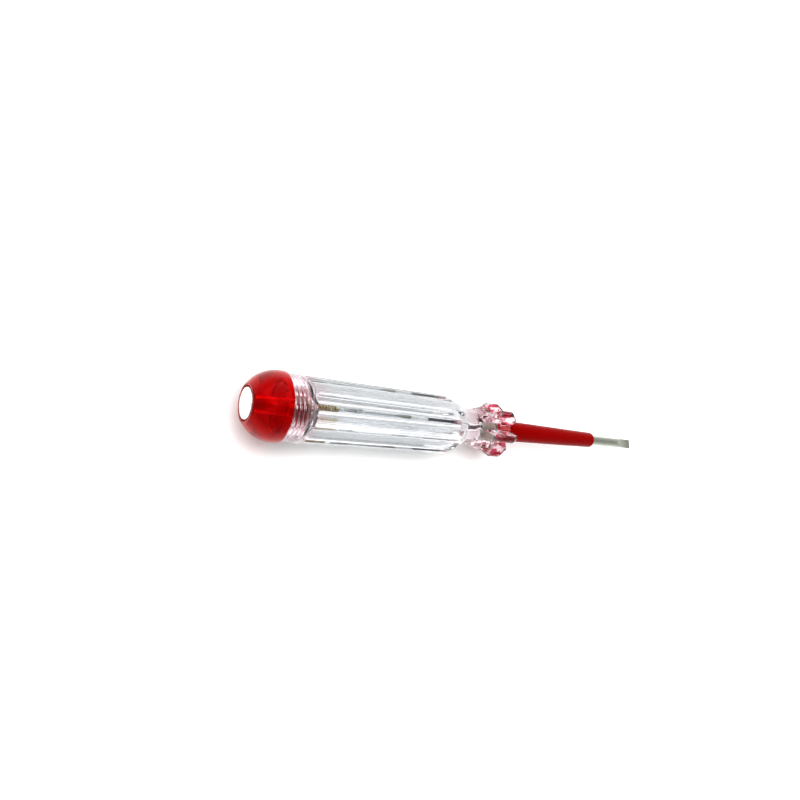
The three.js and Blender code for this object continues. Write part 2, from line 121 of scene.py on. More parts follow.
class TesterHandleSizes(bpy.types.PropertyGroup):
    """Sizes of the clear handle."""

    collar_radius: length("Collar radius", "Round collar over the cap's thread", 0.0076)
    collar_length: length("Collar length", "From the rear of the handle to the ribs", 0.0046)
    rib_radius: length("Rib radius", "From the axis to the edges of the ribs", 0.00775)
    rib_top_radius: length("Rib top radius", "From the axis to the middle of a rib's top", 0.0077)
    rib_curve: length("Rib curve", "Radius of the round over a rib's top", 0.00385)
    rib_ramp: length("Rib ramp", "Length of the slope at the rear end of a rib", 0.0006)
    flute_floor: length("Flute floor radius", "From the axis to the bottom of a flute", 0.0059)
    flute_curve: length("Flute curve", "Radius of a flute's bottom", 0.0028)
    flute_width: length("Flute width", "Width of a flute between two ribs", 0.0049)
    flute_end: length("Flute end", "Length of the round rear end of a flute", 0.0022)
    edge_round: length("Edge round", "Softness of the edge between a rib and a flute", 0.0006)
    shoulder_place: length("Shoulder start", "Place where the ribs begin to fall away", 0.05415)
    shoulder_length: length("Shoulder length", "From the ribs to the neck", 0.0057)
    neck_radius: length("Neck radius", "Radius of the neck behind the crown", 0.005)
    crown_radius: length("Crown radius", "From the axis to the tops of the crown's teeth", 0.0077)
    crown_foot_radius: length("Crown foot radius", "Where the neck turns up to the teeth", 0.0063)
    crown_front_radius: length("Crown front radius", "Radius of the teeth's front edge", 0.0061)
    notch_radius: length("Notch radius", "From the axis to the floor between two teeth", 0.00495)
    notch_curve: length("Notch curve", "Radius of the hollow floor between two teeth", 0.0034)
    notch_front: length("Notch front radius", "Where a notch runs out at the sleeve", 0.003)
    notch_width: length("Notch width", "Width of a notch where it runs out", 0.0016)
    tooth_width: length("Tooth width", "Width of a crown tooth at its top", 0.0024)
    tooth_curve: length("Tooth curve", "Radius of a tooth's rounded top", 0.0013)
    tooth_round: length("Tooth round", "Softness of the teeth's edges", 0.0009)
    bore_radius: length("Bore radius", "Radius of the long bore for the lamp", 0.00265)
    bore_end: length("Bore end", "Place where the bore ends in front of the resistor", 0.05785)
    pin_hole_radius: length("Pin hole radius", "Radius of the thin hole for the pin", 0.0006)


class TesterCapSizes(bpy.types.PropertyGroup):
    """Sizes of the screw cap and the touch contact in it."""

    dome_radius: length("Dome radius", "Radius of the cap's round back and of its rim", 0.008)
    mouth_radius: length("Mouth radius", "Flat ring round the touch contact", 0.0043)
    recess_radius: length("Recess radius", "Radius of the recess for the touch contact", 0.00385)
    spigot_radius: length("Spigot radius", "Over the crests of the cap's thread", 0.005)
    thread_depth: length("Thread depth", "From the crest to the root of the thread", 0.0005)
    thread_pitch: length("Thread pitch", "How far one turn carries the cap", 0.001)
    pocket_depth: length("Pocket depth", "How deep the spring's end sits in the spigot", 0.0034)
    thread_gap: length("Thread gap", "Play between the cap's thread and the handle's", 0.0002)
    contact_radius: length("Contact radius", "Radius of the touch contact's face", 0.0035)
    stem_radius: length("Stem radius", "Radius of the rivet's stem", 0.0015)
    head_radius: length("Head radius", "Radius of the head that the spring rests on", 0.0024)


class TesterInnerSizes(bpy.types.PropertyGroup):
    """Sizes of the pieces inside the handle."""

    spring_wire: length("Spring wire", "Radius of the spring's wire", 0.00025)
    spring_radius: length("Spring radius", "From the axis to the middle of the wire", 0.00215)
    spring_turns: IntProperty(
        name="Spring turns", description="Turns of wire in the spring", default=15, min=4)
    bulb_radius: length("Bulb radius", "Outside radius of the lamp's glass", 0.00195)
    bulb_wall: length("Bulb wall", "Thickness of the lamp's glass", 0.00035)
    pinch_thickness: length("Pinch thickness", "Thickness of the bulb's flat end", 0.0015)
    electrode_radius: length("Electrode radius", "Radius of the lamp's electrodes", 0.00038)
    electrode_side: length("Electrode side", "From the axis to an electrode", 0.00065)
    lead_radius: length("Lead radius", "Radius of the lamp's leads", 0.00025)
    core_radius: length("Core radius", "Radius of the resistor's ceramic rod", 0.0015)
    coating_radius: length("Coating radius", "Radius of the resistor's coated half", 0.00175)
    cone_radius: length("Cone radius", "Radius of the resistor's rear cap", 0.0018)
    pin_radius: length("Pin radius", "Radius of the resistor's contact pin", 0.0005)


class TesterBladeSizes(bpy.types.PropertyGroup):
    """Sizes of the blade shaft and its sleeve."""

    shaft_radius: length("Shaft radius", "Radius of the steel rod", 0.0015)
    blade_length: length("Blade length", "How far the hollow grind reaches back", 0.009)
    tip_length: length("Tip length", "Length of the flat tip", 0.0014)
    tip_thickness: length("Tip thickness", "Thickness of the tip", 0.0005)
    sleeve_rear_radius: length("Sleeve rear radius", "Radius of the sleeve in the handle", 0.00295)
    sleeve_front_radius: length("Sleeve front radius", "Radius of the sleeve's front end", 0.0024)
    sleeve_seat: length("Sleeve seat", "How much deeper it sits than its simple solid", 0.002)
    shaft_seat: length("Shaft seat", "How much deeper it sits than its simple solid", 0.0017)
    sleeve_nose: length("Sleeve nose", "Rounding of the sleeve's front end", 0.0008)


class TesterFinishes(bpy.types.PropertyGroup):
    """Colours of the finishes, and how see-through they are."""

    clear: colour("Clear plastic", "Tint of the handle", (0.89, 0.915, 0.945))
    # The next two colours are painted reflection: a pink for the red cap and sleeve seen in the
    # clear handle, and deep red flecks for the red sleeve seen through the crown's teeth.
    painted_red_reflection: colour("Clear by red", "Tint of the handle by the red pieces", (0.87, 0.68, 0.74))
    spots: colour("Clear on red", "Tint of the spots on the crown's teeth", (0.3, 0.002, 0.01))
    red_clear: colour("Red clear plastic", "Tint of the cap", (0.78, 0.0004, 0.0012))
    red_mirror: colour("Red mirror tint", "Tint of what the red pieces mirror", (1.0, 0.05, 0.06))
    red_clear_share: share("Red see-through share", "How far light passes through the cap", 0.8)
    red_solid: colour("Red sleeve plastic", "Colour of the sleeve", (0.28, 0.0004, 0.0004))
    nickel: colour("Bright nickel", "Colour of the touch contact", (0.9, 0.9, 0.88))
    steel: colour("Blank steel", "Colour of the shaft", (0.43, 0.455, 0.385))
    brass: colour("Spring brass", "Colour of the spring", (0.45, 0.34, 0.14))
    glass: colour("Lamp glass", "Tint of the bulb", (0.98, 0.985, 0.98))
    dull_nickel: colour("Grey nickel", "Colour of the resistor's caps", (0.26, 0.25, 0.21))
    tinned: colour("Tinned wire", "Colour of the lamp's leads", (0.28, 0.25, 0.17))
    ceramic: colour("White ceramic", "Colour of the resistor's core", (0.92, 0.91, 0.87))
    coating: colour("Black coating", "Colour of the resistor's coated half", (0.015, 0.017, 0.021))
    floor: colour("Floor", "Colour of the floor", (0.9, 0.9, 0.895))


class TesterStageSettings(bpy.types.PropertyGroup):
    """Camera, lamps and surroundings."""

    camera_place: FloatVectorProperty(
        name="Camera place", description="Where the camera stands", size=3, subtype="XYZ",
        unit="LENGTH", default=(-0.11434, -0.023675, 0.122949))
    camera_aim: FloatVectorProperty(
        name="Camera aim", description="Point on the floor that it looks at", size=3,
        subtype="XYZ", unit="LENGTH", default=(-0.023675, 0.00706, 0.0))
    camera_roll: FloatProperty(
        name="Camera roll", description="Turn about the line of sight", subtype="ANGLE",
        unit="ROTATION", default=math.radians(74.27))
    lens: FloatProperty(
        name="Lens", description="Focal length on a 36 mm sensor, in millimetres",
        default=25.875, min=1)
    floor_size: length("Floor size", "Side of the square floor", 6.0)
    floor_glow: share("Floor glow", "Light that the floor adds for the camera", 0.62)
    shade_reach: length("Shade reach", "How near to the tool the floor's glow fades", 0.0075)
    floor_glow_inside: share("Floor glow inside", "The same as seen through clear pieces", 0.16)
    key_power: FloatProperty(
        name="Key power", description="Watts of the large soft lamp", default=10.0, min=0)
    fill_power: FloatProperty(
        name="Fill power", description="Watts of the fill lamp", default=1.2, min=0)
    horizon_light: share("Horizon light", "Brightness of the surroundings at eye level", 1.0)
    overhead_light: share("Overhead light", "Brightness of the surroundings straight above", 0.22)


# Shapes


def span(node):
    """Places of the rear and the front end of a CAD node."""
    low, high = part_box(node)
    return low.x - REAR, high.x - REAR


def on_axis(place, radius, turn):
    """Points at a place, radius and turn: x is the rear end plus the place, y is minus the
    radius times the sine of the turn, and z is the axis plus the radius times its cosine."""
    parts = (REAR + place, -radius * np.sin(turn), AXIS_HEIGHT + radius * np.cos(turn))
    return np.stack(np.broadcast_arrays(*parts), axis=-1)


def turns(count):
    """Evenly spaced turns round the axis."""
    return np.arange(count) * FULL_TURN / count


def smoothstep(value):
    """Zero below 0, one above 1, and 3v^2 - 2v^3 between."""
    value = np.clip(value, 0, 1)
    return value * value * (3 - 2 * value)


def soft_least(a, b, softness):
    """The lower of two heights, with the corner between them rounded: where they differ by less
    than the softness, a parabola joins them that dips a quarter of the softness below."""
    blend = np.clip(0.5 + 0.5 * (b - a) / softness, 0, 1)
    return b + (a - b) * blend - softness * blend * (1 - blend)


def rounded(corners, steps=6):
    """A path through corners of (place, radius, rounding). Each corner is cut off by an arc of
    its rounding, which touches both straight runs at rounding / tan(half the corner's angle)."""
    points = np.array([corner[:2] for corner in corners], float)
    made = [points[:1]]
    for before, here, after, corner in zip(points, points[1:], points[2:], corners[1:]):
        back, ahead = before - here, after - here
        back_length, ahead_length = np.linalg.norm(back), np.linalg.norm(ahead)
        back, ahead = back / back_length, ahead / ahead_length
        half = math.acos(np.clip(back @ ahead, -1, 1)) / 2
        if len(corner) < 3 or not corner[2] or math.cos(half) < 1e-4:
            made.append(here[None])
            continue
        reach = min(corner[2] / math.tan(half), 0.49 * back_length, 0.49 * ahead_length)
        arc_radius = reach * math.tan(half)
        centre = here + (back + ahead) / np.linalg.norm(back + ahead) * arc_radius / math.sin(half)
        start, end = here + back * reach - centre, here + ahead * reach - centre
        sweep = math.pi - 2 * half
        along = np.linspace(0, 1, steps + 1)[:, None]
        made.append(
            centre + (np.sin((1 - along) * sweep) * start + np.sin(along * sweep) * end)
            / math.sin(sweep))
    made.append(points[-1:])
    return np.concatenate(made)


def turned(profile, around):
    """Rings of a profile of (place, radius) turned round the axis."""
    profile = np.asarray(profile, float)
    return on_axis(profile[:, :1], profile[:, 1:2], around[None, :])


def swept(path, radius, sides, reference):
    """Rings of a wire along a path: a circle of the radius in the plane square to the path, whose
    first corner points as near to the reference direction as that plane allows."""
    along = np.gradient(path, axis=0)
    along /= np.linalg.norm(along, axis=1, keepdims=True)
    first = reference - (reference * along).sum(1, keepdims=True) * along
    first /= np.linalg.norm(first, axis=1, keepdims=True)
    second = np.cross(along, first)
    turn = turns(sides)[None, :, None]
    circle = np.cos(turn) * first[:, None] + np.sin(turn) * second[:, None]
    return path[:, None] + np.asarray(radius).reshape(-1, 1, 1) * circle


def bent(points, bend, spacing):
    """A path along straight runs whose corners are parabolas that start and end one bend from
    the corner, resampled at an even spacing."""
    points = np.asarray(points, float)
    along = np.linspace(0, 1, 17)[:, None]
    made = [points[:1]]
    for before, corner, after in zip(points, points[1:], points[2:]):
        enter = corner + (before - corner) / np.linalg.norm(before - corner) * bend
        leave = corner + (after - corner) / np.linalg.norm(after - corner) * bend
        made.append((1 - along) ** 2 * enter + 2 * along * (1 - along) * corner + along**2 * leave)
    made.append(points[-1:])
    path = np.concatenate(made)
    run = np.concatenate([[0], np.cumsum(np.linalg.norm(np.diff(path, axis=0), axis=1))])
    even = np.linspace(0, run[-1], int(run[-1] / spacing) + 2)
    return np.stack([np.interp(even, run, path[:, axis]) for axis in range(3)], axis=1)


def faces_of(rings, looped):
    """Points and faces of a closed skin over rings of points. Each ring is joined to the next by
    quads; a looped skin joins the last ring to the first, and any other is closed at each end
    by a fan round the ring's middle."""
    count, corners = rings.shape[:2]
    index = np.arange(count * corners).reshape(count, corners)
    rows = np.vstack([index, index[:1]]) if looped else index
    after = np.roll(rows, -1, axis=1)
    quads = np.stack([rows[:-1], after[:-1], after[1:], rows[1:]], axis=-1).reshape(-1, 4)
    points = rings.reshape(-1, 3)
    fans = np.zeros((0, 3), int)
    if not looped:
        poles = rings[[0, -1]].mean(axis=1)
        points = np.concatenate([points, poles])
        near, far = np.full(corners, count * corners), np.full(corners, count * corners + 1)
        fans = np.concatenate([
            np.stack([near, after[0], rows[0]], axis=-1),
            np.stack([far, rows[-1], after[-1]], axis=-1)])
    return points, quads, fans


def volume(points, quads, fans):
    """Signed volume of a closed skin, which is above zero where its faces point outwards."""
    triangles = np.concatenate([quads[:, [0, 1, 2]], quads[:, [0, 2, 3]], fans])
    a, b, c = (points[triangles[:, corner]] for corner in range(3))
    return (a * np.cross(b, c)).sum() / 6


def solid(name, rings, looped=False, hollow=None, sharp=50):
    """A closed piece from rings of points, with its faces outwards. A hollow is a second skin
    inside it whose faces point into the hollow. Edges sharper than the angle stay crisp."""
    skins = [(rings, looped, 1)] + ([(hollow, False, -1)] if hollow is not None else [])
    points, faces = [], []
    for skin, closed, wanted in skins:
        corners, quads, fans = faces_of(skin, closed)
        if volume(corners - corners.mean(0), quads, fans) * wanted < 0:
            quads, fans = quads[:, ::-1], fans[:, ::-1]
        start = sum(len(part) for part in points)
        points.append(corners)
        faces += (quads + start).tolist() + (fans + start).tolist()
    mesh = bpy.data.meshes.new(name)
    mesh.from_pydata(np.concatenate(points).tolist(), [], faces)
    mesh.polygons.foreach_set("use_smooth", np.ones(len(mesh.polygons), bool))
    mesh.set_sharp_from_angle(angle=math.radians(sharp))
    mesh.validate()
    piece = bpy.data.objects.new(name, mesh)
    bpy.context.scene.collection.objects.link(piece)
    return piece


def lathe(name, corners, count, steps=6, **shape):
    """A piece turned round the axis from corners of (place, radius, rounding)."""
    return solid(name, turned(rounded(corners, steps), turns(count)), **shape)


def groups_of(context, *names):
    """The named groups of properties on the scene."""
    return [getattr(context.scene, "tester_" + name) for name in names]


def fit(piece, finish, body, node):
    """Dresses a piece in its finish and sets it in the place of its CAD node on its body."""
    piece.data.materials.append(finish)
    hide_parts(node)
    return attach(piece, body) if body else piece


# Nodes of the finishes


def feed(tree, socket, value):
    """Gives a socket its value, or links the socket that feeds it."""
    if isinstance(value, bpy.types.NodeSocket):
        tree.links.new(value, socket)
    else:
        socket.default_value = value


def node(tree, kind, settings=None, **inputs):
    """A shader node with its settings and inputs."""
    made = tree.nodes.new(kind)
    for key, value in (settings or {}).items():
        setattr(made, key, value)
    for key, value in inputs.items():
        feed(tree, made.inputs[key.replace("_", " ")], value)
    return made


def joined(tree, kind, *values, **settings):
    """The first output of a shader node whose inputs are given in their order."""
    made = node(tree, kind, settings)
    for socket, value in zip(made.inputs, values):
        feed(tree, socket, value)
    return made.outputs[0]


def mixed(tree, factor, first, second):
    """The colour between two colours, by a factor from 0 to 1."""
    made = node(tree, "ShaderNodeMix", {"data_type": "RGBA"})
    for place, value in ((0, factor), (6, first), (7, second)):
        feed(tree, made.inputs[place], value)
    return made.outputs[2]


def calculated(tree, operation, first, *others):
    """The outcome of one operation on several values, taken in their order."""
    for other in others:
        first = joined(tree, "ShaderNodeMath", first, other, operation=operation)
    return first


def ranged(tree, value, low=0.0, high=1.0, start=0.0, end=1.0):
    """A value that goes from low to high as another goes from start to end."""
    made = node(tree, "ShaderNodeMapRange", Value=value, From_Min=start, From_Max=end,
                To_Min=low, To_Max=high)
    return made.outputs["Result"]


def pattern(name, build, **scales):
    """A shader node group that gives a mask and a height at a vector. It is made once, by a
    function of its tree and of its inputs, which are the vector and the named scales."""
    if name not in bpy.data.node_groups:
        tree = bpy.data.node_groups.new(name, "ShaderNodeTree")
        tree.interface.new_socket(name="Vector", in_out="INPUT", socket_type="NodeSocketVector")
        for label, default in scales.items():
            tree.interface.new_socket(
                name=label.replace("_", " "), in_out="INPUT",
                socket_type="NodeSocketFloat").default_value = default
        for label in ("Mask", "Height"):
            tree.interface.new_socket(
                name=label, in_out="OUTPUT", socket_type="NodeSocketFloat")
        given, made = tree.nodes.new("NodeGroupInput"), tree.nodes.new("NodeGroupOutput")
        for value, socket in zip(build(tree, given.outputs), made.inputs):
            tree.links.new(value, socket)
    return bpy.data.node_groups[name]


def wear_and_shade_patches():
    """Group: soft patches and fine rubbing that handling leaves on any surface; where the cap's
    tint follows the patches, they are painted shade. The mask is a broad noise, and the height a
    fine one that is deepest where the mask is high."""

    def build(tree, given):
        """The mask and the height."""
        patches, grain = (
            node(tree, "ShaderNodeTexNoise", Vector=given["Vector"], Scale=given[scale],
                 Detail=detail).outputs["Fac"]
            for scale, detail in (("Patch Scale", 3.0), ("Grain Scale", 2.0)))
        mask = ranged(tree, patches, start=0.35, end=0.7)
        return mask, calculated(tree, "MULTIPLY", grain, ranged(tree, mask, 0.3, 1.0))

    return pattern("wear_and_shade_patches", build, Patch_Scale=300.0, Grain_Scale=4000.0)


def grain_and_painted_flecks():
    """Group: fine lines that run along the tool, as drawing or moulding leaves them; on the clear
    handle its mask also places the flecks of painted refraction on the crown. A noise is read at
    coordinates whose X is made smaller, so its blobs become streaks."""

    def build(tree, given):
        """The mask and the height."""
        shares = joined(tree, "ShaderNodeCombineXYZ", given["Stretch"], 1.0, 1.0)
        squeezed = joined(tree, "ShaderNodeVectorMath", given["Vector"], shares,
                          operation="MULTIPLY")
        lines = node(tree, "ShaderNodeTexNoise", Vector=squeezed, Scale=given["Line Scale"],
                     Detail=3.0).outputs["Fac"]
        return ranged(tree, lines, start=0.3, end=0.7), lines

    return pattern("grain_and_painted_flecks", build, Line_Scale=3000.0, Stretch=0.02)


def placed(tree, group, **inputs):
    """A group in a material's tree, read at Object coordinates."""
    where = node(tree, "ShaderNodeTexCoord").outputs["Object"]
    return node(tree, "ShaderNodeGroup", {"node_tree": group}, Vector=where, **inputs).outputs


def with_alpha(rgb):
    """A colour with full alpha, as shader sockets want it."""
    return (*rgb, 1.0)


def start_finish(name, **inputs):
    """A new material with one Principled shader on its output."""
    material = bpy.data.materials.new(name)
    material.use_nodes = True
    tree = material.node_tree
    tree.nodes.clear()
    shader = node(tree, "ShaderNodeBsdfPrincipled", **inputs)
    output = tree.nodes.new("ShaderNodeOutputMaterial")
    tree.links.new(shader.outputs["BSDF"], output.inputs["Surface"])
    return material, tree, shader, output


def dress(tree, shader, tint, roughness, height, strength, depth):
    """Sends a tint and a roughness to a shader, and a height to its normal through a Bump."""
    bump = node(tree, "ShaderNodeBump", Height=height, Strength=strength, Distance=depth)
    for key, value in (("Base Color", tint), ("Roughness", roughness),
                       ("Normal", bump.outputs["Normal"])):
        tree.links.new(value, shader.inputs[key])


def let_lamps_through(tree, shader, output, tint):
    """Rays on their way to a lamp pass as through a tinted film, so that what lies inside or
    behind a clear piece is lit."""
    film = node(tree, "ShaderNodeBsdfTransparent", Color=with_alpha(tint)).outputs["BSDF"]
    to_lamp = node(tree, "ShaderNodeLightPath").outputs["Is Shadow Ray"]
    both = joined(tree, "ShaderNodeMixShader", to_lamp, shader.outputs["BSDF"], film)
    tree.links.new(both, output.inputs["Surface"])


def tinted(rgb, by):
    """A colour made lighter or darker."""
    return with_alpha([min(1.0, part * by) for part in rgb])


def streaked(tree, flow_lines, flow, radius, start, end, strength):
    """Adds deep lengthwise streaks to a height, only where the distance from the axis is above
    a radius and the place lies between a start and an end."""
    where = node(tree, "ShaderNodeTexCoord").outputs["Object"]
    from_axis = joined(tree, "ShaderNodeVectorMath", where, (0, 1, 1), (0, 0, -AXIS_HEIGHT),
                       operation="MULTIPLY_ADD")
    distance = node(tree, "ShaderNodeVectorMath", {"operation": "LENGTH"}, Vector=from_axis)
    share_here = calculated(
        tree, "MULTIPLY",
        ranged(tree, distance.outputs["Value"], start=radius - FINE, end=radius + FINE),
        share_along(tree, start, start + 0.0008), share_along(tree, end + 0.002, end - 0.001))
    streaks = placed(tree, grain_and_painted_flecks(), Line_Scale=3000.0, Stretch=0.006)["Height"]
    return calculated(
        tree, "ADD", calculated(tree, "MULTIPLY", streaks, strength, share_here),
        calculated(tree, "MULTIPLY", flow_lines, flow))


def share_along(tree, start, end, most=1.0):
    """A value that rises from 0 at a start to its most at an end, two places along the tool."""
    where = node(tree, "ShaderNodeTexCoord").outputs["Object"]
    along = node(tree, "ShaderNodeSeparateXYZ", Vector=where).outputs["X"]
    return ranged(tree, along, 0.0, most, REAR + start, REAR + end)


def with_painted_reflection(tree, colour, painted_red_reflection, spots, zones, painted_fleck_zone):
    """Paints reflection into a colour: in zones along the tool it turns to a second colour, a
    painted reflection of the red pieces, each zone a start, an end from which on it is fullest,
    and its share there. One zone has flecks of a third colour as well, a painted refraction of the
    red sleeve, where a stretched noise is high."""
    total = calculated(tree, "ADD", 0.0, *[share_along(tree, *zone) for zone in zones])
    colour = mixed(tree, total, colour, with_alpha(painted_red_reflection))
    # This stretched noise only places the flecks of painted refraction.
    grain = placed(tree, grain_and_painted_flecks(), Line_Scale=650.0, Stretch=0.45)["Mask"]
    painted_fleck = calculated(tree, "MULTIPLY", ranged(tree, grain, start=0.53, end=0.63),
                      share_along(tree, *painted_fleck_zone))
    return mixed(tree, painted_fleck, colour, with_alpha(spots))


def see_through(name, rgb, roughness, ior, share_through=1.0, flow=0.02, film=None,
                mirror=(1.0, 1.0, 1.0), streaks=None, painted_red_reflection=None, cloud_and_shade=0.985):
    """A clear moulded finish: faint flow lines of the moulding bend what shows through it, and
    its tint is clouded in patches, down to a share of its colour; on the cap these darker patches
    are painted shade. Where asked, its tint also takes a painted reflection of the red pieces in
    zones along the tool."""
    material, tree, shader, output = start_finish(
        name, IOR=ior, Transmission_Weight=share_through, Specular_Tint=with_alpha(mirror))
    mask = placed(tree, wear_and_shade_patches(), Patch_Scale=180.0, Grain_Scale=2500.0)["Mask"]
    height = placed(tree, grain_and_painted_flecks(), Line_Scale=900.0, Stretch=0.05)["Height"]
    tint = mixed(tree, mask, tinted(rgb, 1.0), tinted(rgb, cloud_and_shade))
    if painted_red_reflection:
        tint = with_painted_reflection(tree, tint, *painted_red_reflection)
    if streaks:
        height, flow = streaked(tree, height, flow, *streaks), 1.0
    dress(tree, shader, tint, ranged(tree, mask, roughness, roughness * 1.6),
          height, flow, 0.0002)
    let_lamps_through(tree, shader, output, film or rgb)
    return material


def metal(name, rgb, roughness, line_scale, strength):
    """A metal finish with drawn lines, which also set its roughness, and slightly darker patches.
    """
    material, tree, shader, _ = start_finish(name, Metallic=1.0)
    lines = placed(tree, grain_and_painted_flecks(), Line_Scale=line_scale, Stretch=0.02)
    mask = placed(tree, wear_and_shade_patches(), Patch_Scale=350.0)["Mask"]
    dress(tree, shader, mixed(tree, mask, tinted(rgb, 1.04), tinted(rgb, 0.92)),
          ranged(tree, lines["Mask"], roughness * 0.8, roughness * 1.25),
          lines["Height"], strength, 0.00003)
    return material


def opaque(name, rgb, roughness, specular, grain, strength, mirror=(1.0, 1.0, 1.0), lit=None):
    """A solid plastic, ceramic or lacquer finish with a fine grain and worn patches. It can be
    brighter by a factor over a zone along the tool, where clear plastic covers it: painted light
    that makes up for the light the clear plastic keeps from it."""
    material, tree, shader, _ = start_finish(
        name, Specular_IOR_Level=specular, Specular_Tint=with_alpha(mirror))
    marks = placed(tree, wear_and_shade_patches(), Patch_Scale=250.0, Grain_Scale=grain)
    tint = mixed(tree, marks["Mask"], tinted(rgb, 1.05), tinted(rgb, 0.93))
    if lit:
        factor, start, end = lit
        tint = mixed(tree, share_along(tree, start, end), tint, tinted(rgb, factor))
    dress(tree, shader, tint,
          ranged(tree, marks["Mask"], roughness * 0.85, roughness * 1.2),
          marks["Height"], strength, 0.00004)
    return material


# The clear handle

CROWN_SIDE = 0.008  # from the start of the shoulder to where the crown's shape takes over


def handle_envelope(sizes, rear, front):
    """Outline of the handle before ribs, flutes and notches are cut: (place, radius) from the
    rim of the collar to the front edge of the teeth, with every corner rounded."""
    collar_end = rear + sizes.collar_length
    shoulder_end = sizes.shoulder_place + sizes.shoulder_length
    rim = 0.0002
    foot, top_start, top_end = front - 0.0086, front - 0.0061, front - 0.0024
    return rounded([
        (rear, sizes.collar_radius - rim),
        (rear + rim, sizes.collar_radius, rim),
        (collar_end, sizes.collar_radius, 0.0004),
        (collar_end + 0.0003, sizes.rib_radius, 0.0003),
        (sizes.shoulder_place, sizes.rib_radius, 0.0022),
        (sizes.shoulder_place + 0.5 * sizes.shoulder_length,
         0.55 * sizes.rib_radius + 0.45 * sizes.neck_radius + 0.0004, 0.004),
        (shoulder_end, sizes.neck_radius, 0.0018),
        (shoulder_end + 0.004, sizes.neck_radius, 0.006),
        (foot, sizes.crown_foot_radius, 0.003),
        (top_start, sizes.crown_radius, 0.0014),
        (top_end, sizes.crown_radius, 0.0012),
        (front - FINE, sizes.crown_front_radius, 0.0005),
        (front, sizes.crown_front_radius - 0.0004),
    ], steps=8)


def handle_skin(sizes, place, turn, envelope, rear, front):
    """Radius of the handle's outside at a place and a turn: the softened least of four heights,
    which are the turned envelope, the top of a rib, the flute and a notch of the crown."""
    sixth = FULL_TURN / 6
    off_flute = (turn + sixth / 2) % sixth - sixth / 2
    off_rib = sixth / 2 - np.abs(off_flute)
    collar_end = rear + sizes.collar_length
    round_part = np.interp(place, envelope[:, 0], envelope[:, 1])

    # A rib's top is nearly the parabola h - x^2 / 2R over the distance x to its middle.
    rib_rise = 0.0008
    ramp = smoothstep((place - collar_end) / sizes.rib_ramp)
    middle = sizes.rib_top_radius + rib_rise * (1 - ramp)
    across = sizes.rib_top_radius * np.sin(off_rib)
    rib = (middle - across**2 / (2 * sizes.rib_curve)) / np.cos(off_rib)

    # A flute's bottom is the parabola f + x^2 / 2R, which starts with a round rear end, and its
    # sides rise steeply beyond its width.
    side_rise, side_width = 0.0022, 0.00014
    over_ribs = sizes.rib_radius + 0.0003
    reach = np.clip((place - collar_end) / sizes.flute_end, 0, 1)
    depth = (over_ribs - sizes.flute_floor) * np.sqrt(1 - (1 - reach) ** 2)
    across = flute_level(sizes) * np.sin(np.abs(off_flute))
    flute = (over_ribs - depth + across**2 / (2 * sizes.flute_curve)) / np.cos(off_flute)
    beyond = across - sizes.flute_width / 2 + side_width / 2
    flute = flute + side_rise * smoothstep(beyond / side_width)

    # A notch's sides are straight lines, whose distance from its middle is w + m (h - f) at the
    # height h, so a ray meets one at (w - m f) / (sin t - m cos t). Its floor dips to the front.
    dip_start, dip_length, least_slope = 0.0059, 0.0023, 0.05
    notch_turn = sixth / 2 - math.asin(sizes.tooth_width / 2 / sizes.crown_radius)
    slope = (sizes.crown_radius * math.sin(notch_turn) - sizes.notch_width / 2) / (
        sizes.crown_radius * math.cos(notch_turn) - sizes.notch_front)
    side = (slope * sizes.notch_front - sizes.notch_width / 2) / np.maximum(
        slope * np.cos(off_flute) - np.sin(np.abs(off_flute)), least_slope)
    dip = np.clip((place - front + dip_start) / dip_length, 0, 1)
    floor = sizes.notch_radius + (sizes.notch_front - sizes.notch_radius) * dip
    across = floor * np.sin(off_flute)
    hollow = (floor + across**2 / (2 * sizes.notch_curve)) / np.cos(off_flute)
    notch = np.maximum(hollow, side)

    # A tooth is rounded off to its sides by the parabola x^2 / 2R, more so as the crown swells.
    rib_round = 0.00012
    crown_swell = sizes.crown_foot_radius - sizes.neck_radius
    swell = np.clip((round_part - sizes.neck_radius) / crown_swell, 0, 1)
    tooth = round_part - swell * (round_part * np.sin(off_rib)) ** 2 / (2 * sizes.tooth_curve)
    toothed = soft_least(np.maximum(tooth, floor), notch, sizes.tooth_round)
    ribbed = soft_least(soft_least(round_part, rib, rib_round), flute, sizes.edge_round)
    return np.where(place < sizes.shoulder_place + CROWN_SIDE, ribbed, toothed)


def flute_level(sizes):
    """Distance from the axis at which a flute's width is measured."""
    return sizes.flute_floor + 0.0011


def flute_turns(count, sizes):
    """Turns round the handle, closer together at the edges of the flutes and of the teeth. They
    are even steps of the running sum of a density with two bumps in each half rib."""
    fine = np.linspace(0, FULL_TURN, 14401)
    sixth = FULL_TURN / 6
    off = np.abs((fine + sixth / 2) % sixth - sixth / 2)
    flute_edge = sizes.flute_width / 2 / flute_level(sizes)
    density = (1 + 2 * np.exp(-(((off - flute_edge) / math.radians(3)) ** 2))
               + np.exp(-(((off - math.radians(12)) / math.radians(4)) ** 2)))
    run = np.concatenate([[0], np.cumsum((density[1:] + density[:-1]) / 2)])
    return np.interp(np.arange(count) / count, run / run[-1], fine)


def thread_shape(cap, place, turn, start):
    """Height share of a right-handed thread, 0 at the root and 1 at the crest: a wave that
    depends on (place - start) / pitch - turn / full turn, with its flanks made steeper."""
    phase = (place - start) / cap.thread_pitch - turn / FULL_TURN
    wave = np.abs(phase % 1 - 0.5) * 2
    return smoothstep((wave - 0.2) / 0.6)


